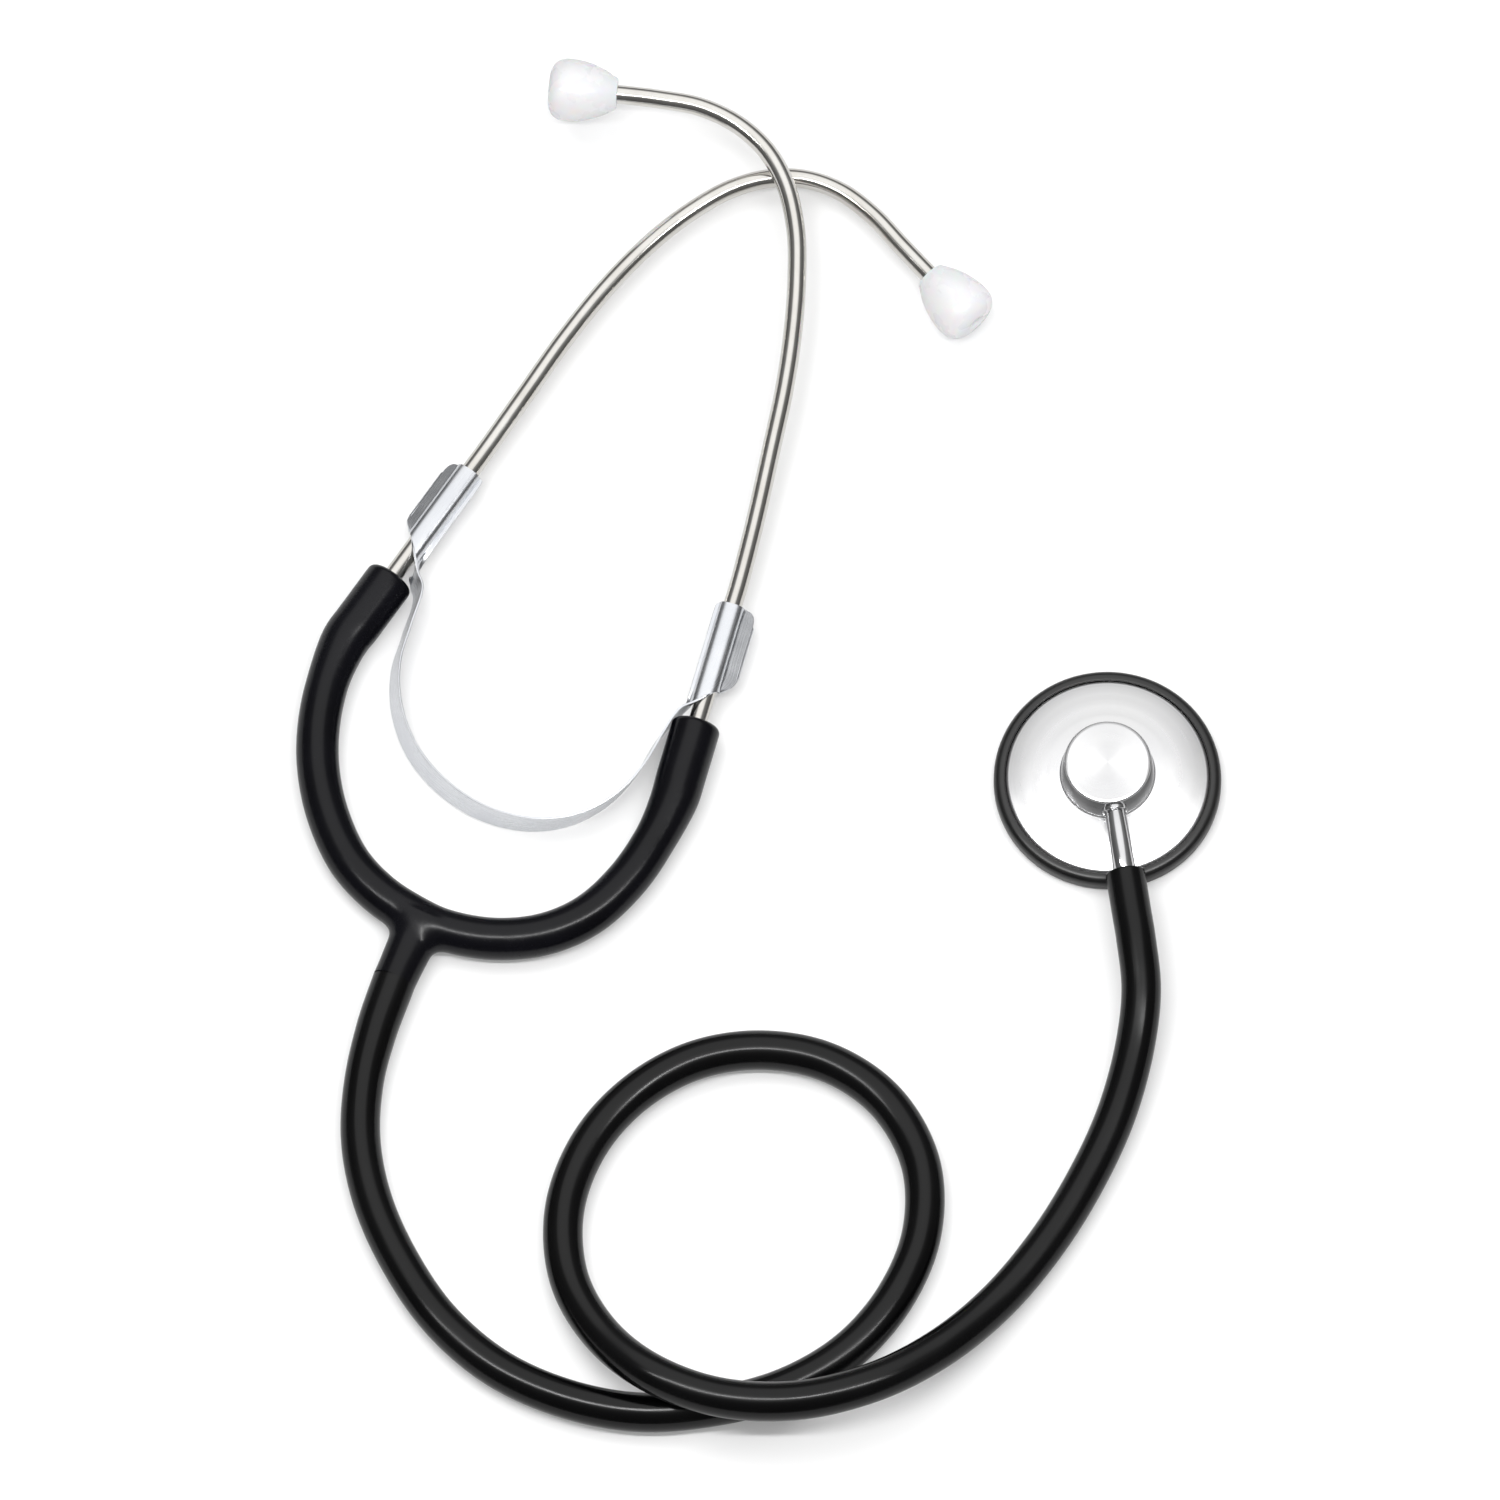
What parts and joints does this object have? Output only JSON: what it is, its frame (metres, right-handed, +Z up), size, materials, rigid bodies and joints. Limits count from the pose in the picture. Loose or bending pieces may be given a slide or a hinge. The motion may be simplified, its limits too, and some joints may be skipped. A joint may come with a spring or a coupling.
{
  "type": "stethoscope",
  "caption": "Single-head acoustic stethoscope with bent metal ear tubes, steel leaf spring, moulded yoke, looped hose and flat chest piece.",
  "frame": {"origin": "on the surface it lies on, under the middle of the box round the headset and chest piece (free hose left out)", "axes": "+Z up from the surface; +Y towards the ear tips, away from the hose's loop; +X from the headset towards the chest piece"},
  "size_m": [0.191, 0.2985, 0.0192],
  "materials": {
    "yoke_vinyl": "satin moulded PVC",
    "hose_vinyl": "glossy extruded PVC",
    "spring_steel": "plated, satin",
    "nickel_tube": "nickel plated, polished",
    "white_tip": "translucent white, smooth",
    "turned_aluminium": "fine turned face",
    "polished_chrome": "mirror polish",
    "black_ring": "satin",
    "diaphragm_film": "pale epoxy glass film"
  },
  "bodies": {
    "yoke": {"yoke_junction": "yoke_vinyl", "yoke_arm_left": "yoke_vinyl", "yoke_arm_right": "yoke_vinyl", "spring_band": "spring_steel", "hose": "hose_vinyl"},
    "left_binaural": {"ear_tube_left": "nickel_tube", "spring_clip_left": "spring_steel"},
    "right_binaural": {"ear_tube_right": "nickel_tube", "spring_clip_right": "spring_steel"},
    "left_tip": {"ear_tip_left": "white_tip"},
    "right_tip": {"ear_tip_right": "white_tip"},
    "chest_piece": {"chestpiece_body": "turned_aluminium", "stem": "polished_chrome"},
    "diaphragm_ring": {"retaining_ring": "black_ring", "diaphragm": "diaphragm_film"}
  },
  "joints": [
    {"name": "left_spread", "type": "hinge", "parent": "yoke", "child": "left_binaural", "pos_m": [-0.0816, -0.0421, 0.005], "axis": [0, 0, 1], "range_deg": [0, 45], "stiffness_Nm_per_rad": 0.5, "deforming": ["yoke_arm_left", "spring_band"]},
    {"name": "right_spread", "type": "hinge", "parent": "yoke", "child": "right_binaural", "pos_m": [-0.0326, -0.0681, 0.005], "axis": [0.2079, 0.0049, -0.9781], "range_deg": [0, 45], "stiffness_Nm_per_rad": 0.5, "deforming": ["yoke_arm_right", "spring_band"]},
    {"name": "left_tip_turn", "type": "hinge", "parent": "left_binaural", "child": "left_tip", "pos_m": [0.0354, 0.055, 0.0065], "axis": [0.673, -0.7396, 0], "continuous": true},
    {"name": "right_tip_turn", "type": "hinge", "parent": "right_binaural", "child": "right_tip", "pos_m": [-0.0294, 0.0929, 0.0126], "axis": [-0.9954, 0.0958, 0], "continuous": true},
    {"name": "chest_swivel", "type": "hinge", "parent": "yoke", "child": "chest_piece", "pos_m": [0.0719, -0.0546, 0.01], "axis": [0.1513, -0.9885, 0], "range_deg": [-90, 90]},
    {"name": "ring_turn", "type": "hinge", "parent": "chest_piece", "child": "diaphragm_ring", "pos_m": [0.0719, -0.0546, 0.002], "axis": [0, 0, 1], "continuous": true}
  ],
  "couplings": [
    {"joint": "right_spread", "follows": "left_spread", "ratio": 1}
  ]
}
